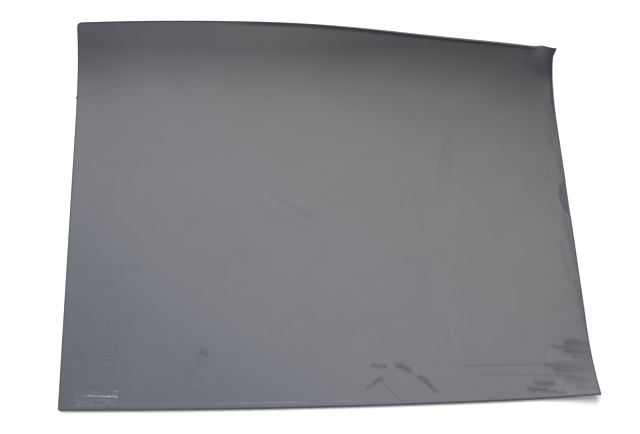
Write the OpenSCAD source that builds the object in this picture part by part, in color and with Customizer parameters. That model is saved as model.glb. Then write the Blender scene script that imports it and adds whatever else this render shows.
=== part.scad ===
// Seedling heat mat: a flat laminated heating sheet whose far edge has curled up, with a low
// junction box bonded under the curled edge. Origin: on the surface the mat lies on, under the
// centre of the unrolled sheet. +X runs to the right, +Y to the far edge, +Z up.

/* [Sheet] */
// Width of the unrolled sheet, left to right
mat_w = 610; // [500:1:900]
// Depth of the unrolled sheet, near to far
mat_d = 457; // [360:1:800]
// Radius of the far left corner; the right corners are cut square
corner_r = 5; // [3:0.5:12]
// Radius of the near left corner
near_corner_r = 2; // [1:0.5:2.5]
// How far the near edge bows outward at its middle
near_bow = 4.3; // [0:0.1:8]
// How far the far edge bows outward at its middle
far_bow = 12.9; // [0:0.1:15]
// How far the right edge bows outward at its middle
right_bow = 1.1; // [0:0.1:4]

/* [Curl] */
// Angle of the far edge over its left part
left_curl = 35; // [20:0.5:38]
// Angle of the far edge over its right part
right_curl = 76; // [50:0.5:78]
// How the slope gathers towards the lip: 1 is a plain arc, more is flatter at first
curl_power = 2.5; // [1:0.1:3.5]
// Distance from the left edge where the curl starts to steepen
steepen_from = 168; // [120:1:200]
// Distance from the right edge where the curl is steepest
steepest_in = 110; // [60:1:170]
// Depth of the raised band from the left edge to the steepest place
left_band = 147; // [120:1:170]
// Depth of the raised band at the right edge
right_band = 134; // [100:1:160]
// Depth of the straight lip beyond the bend, over the inlet box
lip = 24; // [24:1:28]
// Depth of the straight lip where the curl is steepest
right_lip = 2; // [1:1:10]
// How much flatter the curl is at the far right corner
corner_drop = 40; // [0:0.5:44]
// Width of the stretch over which the far right corner flattens
corner_drop_w = 45; // [36:1:60]
// Height that the near right corner lifts
corner_lift = 13.8; // [0:0.2:16]
// Reach of the near right corner's lift, counted along both edges together
corner_reach = 86; // [70:1:110]

/* [Layers] */
// Thickness of the bottom cover
bottom_t = 0.8; // [0.5:0.05:1.5]
// Thickness of the insulation felt
felt_t = 0.7; // [0.4:0.05:2]
// Thickness of each insulating film
film_t = 0.15; // [0.1:0.05:0.3]
// Thickness of the printed strips and the copper
print_t = 0.2; // [0.1:0.05:0.3]
// Thickness of the foil heat spreader
foil_t = 0.15; // [0.1:0.05:0.3]
// Thickness of the top cover
top_t = 0.85; // [0.5:0.05:1.5]

/* [Label patch] */
// Width of the blank clear patch near the near left corner
patch_w = 47; // [30:1:80]
// Depth of the patch
patch_d = 17; // [10:1:40]
// Distance from the left edge to the patch
patch_u = 16; // [6:1:40]
// Distance from the near edge to the patch
patch_v = 3.5; // [3:0.5:20]
// Thickness of the patch
patch_t = 0.12; // [0.05:0.01:0.3]

/* [Heating film] */
// Width of the sealed border round the core
border = 36; // [30:1:44]
// Depth of the sealed border at the far edge
far_border = 29; // [27:1:34]
// Bare film outside the copper and the strips
film_edge = 4; // [2:0.5:6]
// Width of each bus bar
bus_w = 10; // [6:0.5:12]
// Depth of one heating strip
strip_w = 18; // [10:0.5:24]
// Gap between heating strips
strip_gap = 9; // [4:0.5:12]
// Width of the ribbon that brings the right bus bar back to the inlet
ribbon_w = 8; // [5:0.5:10]

/* [Inlet box] */
// Length of the box along the far edge
box_l = 66; // [64:1:80]
// Depth of the box across the lip
box_d = 21; // [20:0.5:23]
// Height of the box below the sheet
box_h = 14; // [13:0.5:16]
// Distance from the box's cord end to the first terminal rivet
first_rivet = 31; // [30:1:34]
// Distance between the two terminal rivets
rivet_pitch = 21; // [18:1:24]
// Distance from the far edge to the box
box_setback = 3; // [2:0.5:4]
// Thickness of the plate bonded to the sheet
base_t = 2; // [1.5:0.1:2.4]
// Wall of the box cover
wall_t = 1.6; // [1.2:0.1:2]
// Thickness of the gasket under the cover's rim
gasket_t = 0.6; // [0.4:0.1:1]
// Length of the blank label's recess under the box
label_l = 36; // [20:1:40]
// Width of the blank label's recess
label_w = 12; // [8:0.5:13]
// Depth of the blank label's recess
label_t = 0.3; // [0.2:0.05:0.5]

/* [Cord entry] */
// Diameter of the hole for the cord
cord_d = 6.2; // [5:0.1:6.8]
// Wall of the rubber gland round the cord
gland_wall = 0.9; // [0.7:0.1:1.2]
// Length of the gland outside the box
gland_nose = 7; // [4:0.5:12]

/* [Fixings] */
// Shank diameter of the box and clamp screws
screw_d = 2; // [1.6:0.1:2.2]
// Shank diameter of the terminal rivets
rivet_d = 3; // [2.4:0.1:3.4]
// Outside diameter of the insulated leads
lead_d = 1.8; // [1.4:0.1:2]
// Clearance round anything that passes through a hole
clearance = 0.1; // [0.05:0.05:0.2]

/* [Hidden] */

dark = [0.30, 0.30, 0.32];
tan_ply = [0.66, 0.62, 0.55];
clear_film = [0.80, 0.82, 0.85];
copper = [0.80, 0.50, 0.33];
brass_tone = [0.80, 0.68, 0.40];
steel = [0.72, 0.73, 0.75];
black = [0.13, 0.13, 0.14];

// Heights of the layers above the underside, measured square to the sheet
z_felt = bottom_t;
z_lower_film = z_felt + felt_t;
z_print = z_lower_film + film_t;
z_upper_film = z_print + print_t;
z_foil = z_upper_film + film_t;
z_top = z_foil + foil_t;
mat_t = z_top + top_t;

// Core outline, and the rows of printed strips in it
core_right = mat_w - border;
core_far = mat_d - far_border;
bus_left = border + film_edge;
bus_right = core_right - film_edge - bus_w;
ribbon_far = core_far - film_edge;
ribbon_near = ribbon_far - ribbon_w;
strip_pitch = strip_w + strip_gap;
first_strip = border + film_edge;
strip_count = floor((ribbon_near - film_edge - first_strip + strip_gap) / strip_pitch);
function strip_near(i) = first_strip + i * strip_pitch;

// The rivets that join the copper to the inlet: through the left bar, and through the ribbon's tail
live_u = bus_left + bus_w / 2;
neutral_u = live_u + rivet_pitch;
tail_left = neutral_u - ribbon_w / 2;

// ---- The lie of the sheet ----
// u and v are distances over the unrolled sheet from its near left corner, n is height above
// the underside, square to the sheet.
steepen_to = mat_w - steepest_in;
function smooth(t) = let (q = min(1, max(0, t))) q * q * (3 - 2 * q);
function steepened(u) = smooth((u - steepen_from) / (steepen_to - steepen_from));
function curl(u) = left_curl + (right_curl - left_curl) * steepened(u)
    - corner_drop * smooth((u - mat_w + corner_drop_w) / corner_drop_w);
function band(u) = left_band + (right_band - left_band) * smooth((u - steepen_to) / (mat_w - steepen_to));
function lip_at(u) = lip + (right_lip - lip) * steepened(u);

// Flat, then a bend whose slope grows with curl_power over its length, then a straight lip,
// with the near right corner lifted. The bend is summed in bend_steps short steps.
bend_steps = 12;
function total(list) = list * [for (x = list) 1];
function lie(p) = let (
        a = curl(p.x), bend = band(p.x) - lip_at(p.x), start = mat_d - band(p.x),
        s = min(bend, max(0, p.y - start)), out = max(0, p.y - start - bend),
        slopes = [for (i = [0.5:bend_steps]) a * pow(i / bend_steps * s / bend, curl_power)],
        rise = max(0, 1 - (mat_w - p.x + p.y) / corner_reach)
    ) [
        p.x - mat_w / 2,
        min(p.y, start) + s * total([for (t = slopes) cos(t)]) / bend_steps + out * cos(a) - mat_d / 2,
        s * total([for (t = slopes) sin(t)]) / bend_steps + out * sin(a) + corner_lift * rise * rise
    ];

// The two left corners are drawn in to a round, and the edges bow
function rounded(u, v) = let (
        far = v > mat_d / 2, r = far ? corner_r : near_corner_r,
        a = (r - u) / r, b = (r - (far ? mat_d - v : v)) / r
    ) a <= 0 || b <= 0 ? [u, v] : let (
        k = max(a, b) / norm([a, b]) * r, w = r - b * k
    ) [r - a * k, far ? mat_d - w : w];
function bowed(p) = let (s = 4 * p.x * (mat_w - p.x) / (mat_w * mat_w), f = p.y / mat_d) [
        p.x + right_bow * 4 * f * (1 - f) * p.x / mat_w,
        p.y + s * (far_bow * f - near_bow * (1 - f))
    ];

probe = 0.5;
function normal(p) = let (
        c = cross(lie(p + [probe, 0]) - lie(p - [probe, 0]), lie(p + [0, probe]) - lie(p - [0, probe]))
    ) c / norm(c);
function at(u, v, n) = let (p = bowed(rounded(u, v))) lie(p) + n * normal(p);

// Grid lines: close where the sheet bends, and on the edge of every layer
function between(a, b, count) = [for (i = [0:count - 1]) a + (b - a) * i / count];
function in_range(lines, a, b) = [for (x = lines) if (x > a - 0.001 && x < b + 0.001) x];
u_lines = concat(
    [0, near_corner_r, corner_r, border, bus_left, bus_left + bus_w, tail_left, tail_left + ribbon_w],
    between(steepen_from, steepen_to, 8), between(steepen_to, bus_right, 2),
    [bus_right, bus_right + bus_w], between(core_right, mat_w, 5), [mat_w]
);
function strip_bends(i) = strip_near(i) + strip_w > mat_d - left_band - far_bow;
function strip_edges(i) = strip_bends(i)
    ? [strip_near(i), strip_near(i) + strip_w / 2, strip_near(i) + strip_w]
    : [strip_near(i), strip_near(i) + strip_w];
bar_lines = [for (i = [0:strip_count - 1]) each strip_edges(i)];
v_lines = concat(
    [0, near_corner_r, border],
    [for (i = [0:strip_count - 1]) if (strip_bends(i) || strip_near(i) < corner_reach) each strip_edges(i)],
    [ribbon_near, ribbon_far, core_far], between(mat_d - lip, mat_d - corner_r, 3),
    [mat_d - corner_r, mat_d]
);

// One layer of the sheet over the cells between lines us and vs, from height n0 to n1.
// Cells inside the rectangle hole = [u0, v0, u1, v1] are left out.
module layer(us, vs, n0, n1, hole = [0, 0, 0, 0]) {
    nu = len(us);
    nv = len(vs);
    function cell(i, j) = i >= 0 && j >= 0 && i < nu - 1 && j < nv - 1
        && !(us[i] > hole[0] - 0.001 && us[i + 1] < hole[2] + 0.001
             && vs[j] > hole[1] - 0.001 && vs[j + 1] < hole[3] + 0.001);
    function low(i, j) = j * nu + i;
    function high(k) = k + nu * nv;
    function side(a, b) = a < b
        ? [[a, high(a), high(b)], [a, high(b), b]]
        : [[a, high(a), b], [high(a), high(b), b]];
    polyhedron(
        points = [for (n = [n0, n1], v = vs, u = us) at(u, v, n)],
        faces = [for (j = [0:nv - 2], i = [0:nu - 2]) if (cell(i, j)) let (
                a = low(i, j), b = low(i + 1, j), c = low(i + 1, j + 1), d = low(i, j + 1)
            ) each concat(
                [[high(a), high(d), high(c)], [high(a), high(c), high(b)], [a, c, d], [a, b, c]],
                cell(i, j - 1) ? [] : side(a, b), cell(i + 1, j) ? [] : side(b, c),
                cell(i, j + 1) ? [] : side(c, d), cell(i - 1, j) ? [] : side(d, a)
            )],
        convexity = 6
    );
}
module patch(u0, u1, v0, v1, n0, n1) {
    layer(in_range(u_lines, u0, u1), in_range(v_lines, v0, v1), n0, n1);
}
module core_layer(n0, n1) {
    patch(border, core_right, border, core_far, n0, n1);
}

// ---- The inlet box's own frame: x along the far edge, y outward over the lip, z square up ----
box_u = live_u - first_rivet + box_l / 2;
box_v = mat_d - box_setback - box_d / 2;
function unit(a) = a / norm(a);
box_o = at(box_u, box_v, 0);
box_x = unit(at(box_u + probe, box_v, 0) - at(box_u - probe, box_v, 0));
box_z = unit(cross(box_x, at(box_u, box_v + probe, 0) - at(box_u, box_v - probe, 0)));
box_y = cross(box_z, box_x);
function in_box(p) = [(p - box_o) * box_x, (p - box_o) * box_y, (p - box_o) * box_z];
module in_box_frame() {
    translate(box_o)
        rotate([atan2(box_y.z, box_z.z), -asin(box_x.z), atan2(box_x.y, box_x.x)])
            children();
}

// Where the two tails of copper end over the box, and the rivets through them
tail_margin = 3;
rivet_from_end = 4.5;
tail_end = mat_d - box_setback - tail_margin;
rivet_v = tail_end - rivet_from_end;
live_at = in_box(at(live_u, rivet_v, 0));
neutral_at = in_box(at(neutral_u, rivet_v, 0));
rivet_head_d = rivet_d + 2.4;
rivet_head_t = z_top - z_upper_film;

// Heights inside the box, downward from the underside of the sheet
rim_z = -base_t - gasket_t;
floor_z = wall_t - box_h;
bore_z = (rim_z + floor_z) / 2;
label_sunk = 0.05;
gland_d = cord_d + 2 * gland_wall;
flange_d = min(gland_d + 1.6, rim_z - floor_z - 0.2);
flange_t = 1;
gland_tip_wall = 0.7;
gland_root_l = 1.5;

// Screw places: four cover screws in corner posts, two clamp screws beside the cord
post_d = screw_d + 1.8;
post_gap = 0.6;
post_x = box_l / 2 - wall_t - post_d / 2;
post_y = box_d / 2 - wall_t - post_d / 2;
head_d = screw_d * 1.9;
head_t = screw_d * 0.6;
head_sunk = head_t / 2;
clamp_wall = 1.2;
clamp_x = -post_x + post_d + post_gap;
clamp_y = cord_d / 2 + clamp_wall + head_d / 2 + 0.2;
clamp_t = 1.6;
clamp_w = 5;
clamp_seat_z = bore_z + 0.2;

// Terminal block, fuse and leads
block_l = 14;
block_w = 13;
block_h = 6.4;
block_x = clamp_x + clamp_w / 2 + 1.5 + block_l / 2;
pole_y = block_w / 4;
tube_d = 4.4;
tube_bore = lead_d + 1;
tube_z = -base_t - block_h / 2;
term_screw_d = 2.2;
term_screw_x = block_l / 4;
term_well_d = term_screw_d + 1;
fuse_d = 3.4;
fuse_l = 8;
fuse_wire = 2.5;
sleeve_t = 0.4;
fuse_x = (live_at.x + neutral_at.x) / 2;
fuse_y = -pole_y - 1.6;
fuse_z = -base_t - fuse_d / 2 - sleeve_t;
wire_in = 4.5;

// Ring tags under the rivets: each has a tab that its lead is soldered under
tag_t = 0.6;
tag_d = rivet_head_d + 0.8;
tail_flange_t = 0.5;
tab_l = 7;
tab_w = 3;
tab_z = -base_t - tag_t - lead_d / 2;

module at_both_poles() {
    for (y = [-pole_y, pole_y]) translate([block_x, y, tube_z]) children();
}
module at_terminal_screws() {
    at_both_poles() for (x = [-term_screw_x, term_screw_x]) translate([x, 0, 0]) children();
}
module at_box_posts() {
    for (x = [-post_x, post_x], y = [-post_y, post_y]) translate([x, y, 0]) children();
}
module at_clamp_screws() {
    for (y = [-clamp_y, clamp_y]) translate([clamp_x, y, 0]) children();
}
module at_rivets() {
    for (p = [live_at, neutral_at]) translate([p.x, p.y, 0]) children();
}
module pan_screw(d, length) {
    // Head on top of z = 0, shank downward
    difference() {
        cylinder(d = d * 1.9, h = d * 0.6, $fn = 32);
        translate([-d * 0.7, -d * 0.12, d * 0.35]) cube([d * 1.4, d * 0.24, d]);
    }
    translate([0, 0, -length]) cylinder(d = d, h = length, $fn = 24);
}
module rounded_box(size, r, z0) {
    translate([0, 0, z0]) linear_extrude(size.z) rounded_rectangle(size, r);
}
module rounded_rectangle(size, r) {
    union() {
        square([size.x - 2 * r, size.y], center = true);
        square([size.x, size.y - 2 * r], center = true);
        for (x = [-1, 1], y = [-1, 1])
            translate([x * (size.x / 2 - r), y * (size.y / 2 - r)]) circle(r = r, $fn = 32);
    }
}
// A round lead swept along points given in the box's frame
module lead(points, d) {
    sides = 10;
    last = len(points) - 1;
    function along(i) = unit(points[min(last, i + 1)] - points[max(0, i - 1)]);
    function across(i) = unit(cross([0, 0, 1], along(i)));
    ring = [for (i = [0:last], k = [0:sides - 1]) let (
            c = across(i), b = cross(along(i), c), w = 360 * k / sides
        ) points[i] + d / 2 * (cos(w) * c + sin(w) * b)];
    polyhedron(
        points = ring,
        faces = concat(
            [[for (k = [0:sides - 1]) k]],
            [[for (k = [sides - 1:-1:0]) last * sides + k]],
            [for (i = [0:last - 1], k = [0:sides - 1]) let (
                    a = i * sides + k, b = i * sides + (k + 1) % sides
                ) each [[a, a + sides, b + sides], [a, b + sides, b]]]
        ),
        convexity = 6
    );
}

// ---- Sheet ----
module label_patch() {
    color(clear_film)
        layer([patch_u, patch_u + patch_w], [patch_v, patch_v + patch_d], mat_t, mat_t + patch_t);
}
module top_cover() {
    color(dark) layer(u_lines, v_lines, z_top, mat_t);
}
module bottom_cover() {
    color(dark) difference() {
        layer(u_lines, v_lines, 0, bottom_t);
        in_box_frame() at_rivets()
            translate([0, 0, -1]) cylinder(d = rivet_d + 2 * clearance, h = bottom_t + 2, $fn = 32);
    }
}
module edge_seal() {
    mid_print = z_print + print_t / 2;
    color(tan_ply) difference() {
        layer(u_lines, v_lines, z_felt, z_top, [border, border, core_right, core_far]);
        for (left = [bus_left, tail_left]) tail_slot(left, left == bus_left ? bus_w : ribbon_w);
        in_box_frame() at_rivets() {
            cylinder(d = rivet_d + 2 * clearance, h = mid_print, $fn = 32);
            translate([0, 0, mid_print]) cylinder(d = rivet_head_d + 2 * clearance, h = mat_t, $fn = 32);
        }
    }
}
module heat_spreader() {
    color("silver") core_layer(z_foil, z_top);
}
module upper_film() {
    color(clear_film) core_layer(z_upper_film, z_foil);
}
module lower_film() {
    color(clear_film) core_layer(z_lower_film, z_print);
}
module insulation_felt() {
    color("gainsboro") core_layer(z_felt, z_lower_film);
}
module heating_strips() {
    color(black) for (i = [0:strip_count - 1])
        layer(
            in_range(u_lines, bus_left + bus_w, bus_right),
            strip_edges(i), z_print, z_upper_film
        );
}

// ---- Copper ----
// Two tails run out of the core over the box, and the rivets go through them
tail_lines = [core_far, mat_d - lip, tail_end];
module tail_slot(left, width) {
    layer([left, left + width], concat([core_far - film_edge], tail_lines), z_print, z_upper_film);
}
module rivet_holes() {
    in_box_frame() at_rivets() translate([0, 0, z_print - 1])
        cylinder(d = rivet_d + 2 * clearance, h = print_t + 2, $fn = 32);
}
module bus_bar_left() {
    color(copper) difference() {
        layer([bus_left, bus_left + bus_w],
            concat(bar_lines, [ribbon_near, ribbon_far], tail_lines),
            z_print, z_upper_film);
        rivet_holes();
    }
}
module bus_bar_right() {
    color(copper) layer([bus_right, bus_right + bus_w], concat(bar_lines, [ribbon_near, ribbon_far]),
        z_print, z_upper_film);
}
module neutral_ribbon() {
    color(copper) difference() {
        union() {
            patch(tail_left, bus_right, ribbon_near, ribbon_far, z_print, z_upper_film);
            layer([tail_left, tail_left + ribbon_w], concat([ribbon_far], tail_lines), z_print, z_upper_film);
        }
        rivet_holes();
    }
}
module terminal_rivets() {
    tail_z = -base_t - tag_t;
    color(brass_tone) in_box_frame() at_rivets() difference() {
        union() {
            translate([0, 0, z_upper_film]) cylinder(d = rivet_head_d, h = rivet_head_t, $fn = 32);
            translate([0, 0, tail_z - tail_flange_t])
                cylinder(d = rivet_d, h = z_upper_film - tail_z + tail_flange_t, $fn = 32);
            translate([0, 0, tail_z - tail_flange_t])
                cylinder(d = rivet_head_d, h = tail_flange_t, $fn = 32);
        }
        translate([0, 0, tail_z - 1]) cylinder(d = rivet_d - 1.2, h = z_upper_film - tail_z + 0.6, $fn = 32);
    }
}
module ring_tags() {
    color(brass_tone) in_box_frame() {
        translate([live_at.x, live_at.y, 0]) ring_tag();
        translate([neutral_at.x, neutral_at.y, 0]) rotate([0, 0, 180]) ring_tag();
    }
}
module ring_tag() {
    translate([0, 0, -base_t - tag_t]) difference() {
        union() {
            cylinder(d = tag_d, h = tag_t, $fn = 32);
            translate([0, -tab_w / 2, 0]) cube([tab_l, tab_w, tag_t]);
        }
        translate([0, 0, -1]) cylinder(d = rivet_d + 2 * clearance, h = tag_t + 2, $fn = 32);
    }
}

// ---- Inlet box ----
module inlet_base() {
    color(black) in_box_frame() difference() {
        union() {
            rounded_box([box_l, box_d, base_t], 2, -base_t);
            at_box_posts() translate([0, 0, floor_z + 0.1])
                cylinder(d = post_d, h = -base_t - floor_z + 0.4, $fn = 32);
            at_clamp_screws() translate([0, 0, clamp_seat_z])
                cylinder(d = post_d, h = -base_t - clamp_seat_z + 0.5, $fn = 32);
        }
        at_rivets() translate([0, 0, -base_t - 1])
            cylinder(d = rivet_d + 2 * clearance, h = base_t + 2, $fn = 32);
        at_box_posts() translate([0, 0, floor_z - 1])
            cylinder(d = screw_d + 2 * clearance, h = -base_t - floor_z, $fn = 24);
        at_clamp_screws() translate([0, 0, clamp_seat_z - 1])
            cylinder(d = screw_d + 2 * clearance, h = -base_t - clamp_seat_z + 1.6, $fn = 24);
    }
}
module inlet_gasket() {
    color([0.35, 0.36, 0.38]) in_box_frame() difference() {
        rounded_box([box_l, box_d, gasket_t], 2, -base_t - gasket_t);
        rounded_box([box_l - 2 * wall_t, box_d - 2 * wall_t, gasket_t + 2], 1, -base_t - gasket_t - 1);
    }
}
module inlet_cover() {
    color(black) in_box_frame() difference() {
        rounded_box([box_l, box_d, rim_z + box_h], 2, -box_h);
        rounded_box([box_l - 2 * wall_t, box_d - 2 * wall_t, box_h], 1, floor_z);
        at_box_posts() {
            translate([0, 0, -box_h - 1]) cylinder(d = screw_d + 4 * clearance, h = wall_t + 2, $fn = 24);
            translate([0, 0, -box_h - 1]) cylinder(d = head_d + 4 * clearance, h = head_sunk + 1, $fn = 32);
        }
        translate([-box_l / 2 - 1, 0, bore_z]) rotate([0, 90, 0])
            cylinder(d = gland_d, h = wall_t + 2, $fn = 48);
        rounded_box([label_l, label_w, 1], 1, -box_h - 1 + label_t);
    }
}
module rating_label() {
    color("lightgray") in_box_frame() rounded_box(
        [label_l - 4 * clearance, label_w - 4 * clearance, label_t - label_sunk], 0.8, label_sunk - box_h
    );
}
module cover_screws() {
    color(steel) in_box_frame() at_box_posts() translate([0, 0, head_sunk - box_h]) rotate([180, 0, 0])
        pan_screw(screw_d, box_h - base_t - 3);
}
module cord_gland() {
    color([0.2, 0.2, 0.21]) in_box_frame() translate([-box_l / 2, 0, bore_z]) rotate([0, 90, 0])
        rotate_extrude($fn = 48) polygon([
            [cord_d / 2, -gland_nose], [cord_d / 2 + gland_tip_wall, -gland_nose],
            [gland_d / 2, -gland_root_l], [flange_d / 2, -flange_t], [flange_d / 2, 0], [gland_d / 2, 0],
            [gland_d / 2, wall_t], [flange_d / 2, wall_t], [flange_d / 2, wall_t + flange_t],
            [cord_d / 2, wall_t + flange_t]
        ]);
}
module cord_clamp() {
    color(black) in_box_frame() translate([clamp_x, 0, 0]) difference() {
        union() {
            rounded_box([clamp_w, 2 * clamp_y + post_d, clamp_t], 1, clamp_seat_z - clamp_t);
            along_x(cord_d + 0.4 + 2 * clamp_wall, clamp_w);
        }
        along_x(cord_d + 0.4, clamp_w + 2);
        translate([0, 0, clamp_seat_z + box_h / 2])
            cube([clamp_w + 2, box_d, box_h], center = true);
        for (y = [-clamp_y, clamp_y]) translate([0, y, -box_h])
            cylinder(d = screw_d + 2 * clearance, h = box_h, $fn = 24);
    }
}
module along_x(d, length) {
    translate([0, 0, bore_z]) rotate([0, 90, 0]) cylinder(d = d, h = length, center = true, $fn = 48);
}
module clamp_screws() {
    color(steel) in_box_frame() at_clamp_screws() translate([0, 0, clamp_seat_z - clamp_t])
        rotate([180, 0, 0]) pan_screw(screw_d, clamp_t - base_t - clamp_seat_z);
}

// ---- Terminals, fuse and leads ----
module terminal_block() {
    color("ivory") in_box_frame() difference() {
        translate([block_x, 0, -base_t - block_h]) rounded_box([block_l, block_w, block_h], 0.8, 0);
        at_both_poles() rotate([0, 90, 0]) cylinder(d = tube_d, h = block_l + 2, center = true, $fn = 32);
        at_terminal_screws() translate([0, 0, -block_h])
            cylinder(d = term_well_d, h = block_h, $fn = 32);
    }
}
module terminal_tubes() {
    color(brass_tone) in_box_frame() at_both_poles() difference() {
        rotate([0, 90, 0]) cylinder(d = tube_d, h = block_l - 1, center = true, $fn = 32);
        rotate([0, 90, 0]) cylinder(d = tube_bore, h = block_l + 2, center = true, $fn = 32);
        for (x = [-term_screw_x, term_screw_x]) translate([x, 0, -tube_d])
            cylinder(d = term_screw_d, h = tube_d, $fn = 24);
    }
}
module terminal_screws() {
    color(steel) in_box_frame() at_terminal_screws() translate([0, 0, -block_h / 2 + 0.3]) difference() {
        cylinder(d = term_screw_d, h = block_h / 2 - 1.3, $fn = 24);
        translate([-2, -0.2, -1]) cube([4, 0.4, 1.5]);
    }
}
module thermal_fuse() {
    color([0.78, 0.76, 0.70]) in_box_frame() translate([fuse_x, fuse_y, fuse_z]) rotate([0, 90, 0]) {
        cylinder(d = fuse_d, h = fuse_l, center = true, $fn = 32);
        cylinder(d = 0.8, h = fuse_l + 5, center = true, $fn = 24);
    }
}
module fuse_sleeve() {
    color([0.86, 0.84, 0.78]) in_box_frame() translate([fuse_x, fuse_y, fuse_z]) rotate([0, 90, 0])
        difference() {
            cylinder(d = fuse_d + 2 * sleeve_t, h = fuse_l + 2, center = true, $fn = 32);
            cylinder(d = fuse_d, h = fuse_l + 3, center = true, $fn = 32);
        }
}
module live_lead() {
    start = [block_x + block_l / 2 - wire_in, -pole_y, tube_z];
    end = [fuse_x - fuse_l / 2 - fuse_wire, fuse_y, fuse_z];
    color("saddlebrown") in_box_frame()
        lead([start, start + [wire_in + 1, 0, 0], end - [1.2, 0, 0], end], lead_d);
}
module live_link() {
    start = [fuse_x + fuse_l / 2 + fuse_wire, fuse_y, fuse_z];
    end = [live_at.x + tag_d / 2 + 0.4, live_at.y, tab_z];
    color("saddlebrown") in_box_frame() lead([
        start, start + [1.6, 0.2, 0], start + [2.7, 1.5, -0.2], start + [2.1, 3.2, -0.2],
        start + [-1, 4.3, 0], end + [7.5, -1.7, -0.4], end + [3.6, -0.3, 0], end
    ], lead_d);
}
module neutral_lead() {
    start = [block_x + block_l / 2 - wire_in, pole_y, tube_z];
    end = [neutral_at.x - tag_d / 2 - 0.4, neutral_at.y, tab_z];
    color("steelblue") in_box_frame() lead([
        start, start + [wire_in + 1, 0, -0.2], start + [wire_in + 5, 0, -2],
        [live_at.x + 6, live_at.y, tab_z - 3.8],
        end + [-5.8, 0, -2.4], end + [-3.4, 0, -0.2], end
    ], lead_d);
}

top_cover();
bottom_cover();
edge_seal();
label_patch();
heat_spreader();
upper_film();
lower_film();
heating_strips();
bus_bar_left();
bus_bar_right();
neutral_ribbon();
insulation_felt();
terminal_rivets();
ring_tags();
inlet_base();
inlet_gasket();
inlet_cover();
cover_screws();
cord_gland();
cord_clamp();
clamp_screws();
terminal_block();
terminal_tubes();
terminal_screws();
thermal_fuse();
fuse_sleeve();
live_lead();
live_link();
neutral_lead();
rating_label();
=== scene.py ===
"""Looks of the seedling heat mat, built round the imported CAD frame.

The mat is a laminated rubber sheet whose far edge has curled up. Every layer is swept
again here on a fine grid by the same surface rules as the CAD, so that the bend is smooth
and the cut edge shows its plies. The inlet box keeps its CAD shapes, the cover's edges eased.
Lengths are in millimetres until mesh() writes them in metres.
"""
import math

import bmesh
import bpy
import numpy as np
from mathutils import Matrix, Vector


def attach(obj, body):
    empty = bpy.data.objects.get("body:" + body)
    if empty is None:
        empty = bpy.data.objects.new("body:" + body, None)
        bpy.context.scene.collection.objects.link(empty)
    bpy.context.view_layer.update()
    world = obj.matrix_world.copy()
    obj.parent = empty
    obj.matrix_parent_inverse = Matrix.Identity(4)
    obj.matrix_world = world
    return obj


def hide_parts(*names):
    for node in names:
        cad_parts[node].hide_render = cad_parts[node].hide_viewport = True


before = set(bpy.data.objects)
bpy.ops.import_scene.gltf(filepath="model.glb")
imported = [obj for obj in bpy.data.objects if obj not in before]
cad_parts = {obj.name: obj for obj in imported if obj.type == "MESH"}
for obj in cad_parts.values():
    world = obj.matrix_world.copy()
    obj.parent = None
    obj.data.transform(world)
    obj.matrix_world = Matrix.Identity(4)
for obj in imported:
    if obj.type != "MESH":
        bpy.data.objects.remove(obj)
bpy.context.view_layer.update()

MM = 0.001

# ---- The sheet, as the CAD has it ----
MAT_W, MAT_D = 610.0, 457.0
CORNER_R, NEAR_CORNER_R = 5.0, 2.0
NEAR_BOW, FAR_BOW, RIGHT_BOW = 4.3, 12.9, 1.1
LEFT_CURL, RIGHT_CURL, CURL_POWER = math.radians(35), math.radians(76), 2.5
STEEPEN_FROM, STEEPEN_TO = 168.0, 500.0
LEFT_BAND, RIGHT_BAND, LIP, RIGHT_LIP = 147.0, 134.0, 24.0, 2.0
CORNER_DROP, CORNER_DROP_W = math.radians(40), 45.0
CORNER_LIFT, CORNER_REACH = 13.8, 86.0
BEND_STEPS = 12
SWELL = 0.55
PROBE = 0.5

# Small shapes the CAD leaves out: a beak pulled out at the far right corner, a nick of
# cover standing out of the left edge, and a pressed crescent at the right edge
BEAK, BEAK_REACH = 3.8, 13.0
NICK, NICK_V, NICK_W = 1.1, 365.0, 2.2
DENT_Y, DENT_HALF, DENT_DEEP, DENT_DROP = 19.0, 24.0, 12.0, 0.5

# Heights of the layers above the underside
BOTTOM_T, FELT_T, FILM_T, PRINT_T, FOIL_T, TOP_T = 0.8, 0.7, 0.15, 0.2, 0.15, 0.85
Z_FELT = BOTTOM_T
Z_LOWER_FILM = Z_FELT + FELT_T
Z_PRINT = Z_LOWER_FILM + FILM_T
Z_UPPER_FILM = Z_PRINT + PRINT_T
Z_FOIL = Z_UPPER_FILM + FILM_T
Z_TOP = Z_FOIL + FOIL_T
MAT_T = Z_TOP + TOP_T

# Core outline, strips and copper
BORDER, FAR_BORDER, FILM_EDGE = 36.0, 29.0, 4.0
BUS_W, RIBBON_W = 10.0, 8.0
STRIP_W, STRIP_GAP = 18.0, 9.0
CORE = (BORDER, MAT_W - BORDER, BORDER, MAT_D - FAR_BORDER)
BUS_LEFT = BORDER + FILM_EDGE
BUS_RIGHT = MAT_W - BORDER - FILM_EDGE - BUS_W
RIBBON_FAR = MAT_D - FAR_BORDER - FILM_EDGE
RIBBON_NEAR = RIBBON_FAR - RIBBON_W
STRIP_PITCH = STRIP_W + STRIP_GAP
STRIP_COUNT = int((RIBBON_NEAR - FILM_EDGE - BUS_LEFT + STRIP_GAP) // STRIP_PITCH)
RIVET_PITCH = 21.0
TAIL_LEFT = BUS_LEFT + BUS_W / 2 + RIVET_PITCH - RIBBON_W / 2
TAIL_END = MAT_D - 6.0
PATCH = (16.0, 63.0, 3.5, 20.5)
PATCH_T = 0.12


def smooth(t):
    t = np.clip(t, 0.0, 1.0)
    return t * t * (3 - 2 * t)


def steepened(u):
    return smooth((u - STEEPEN_FROM) / (STEEPEN_TO - STEEPEN_FROM))


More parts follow.
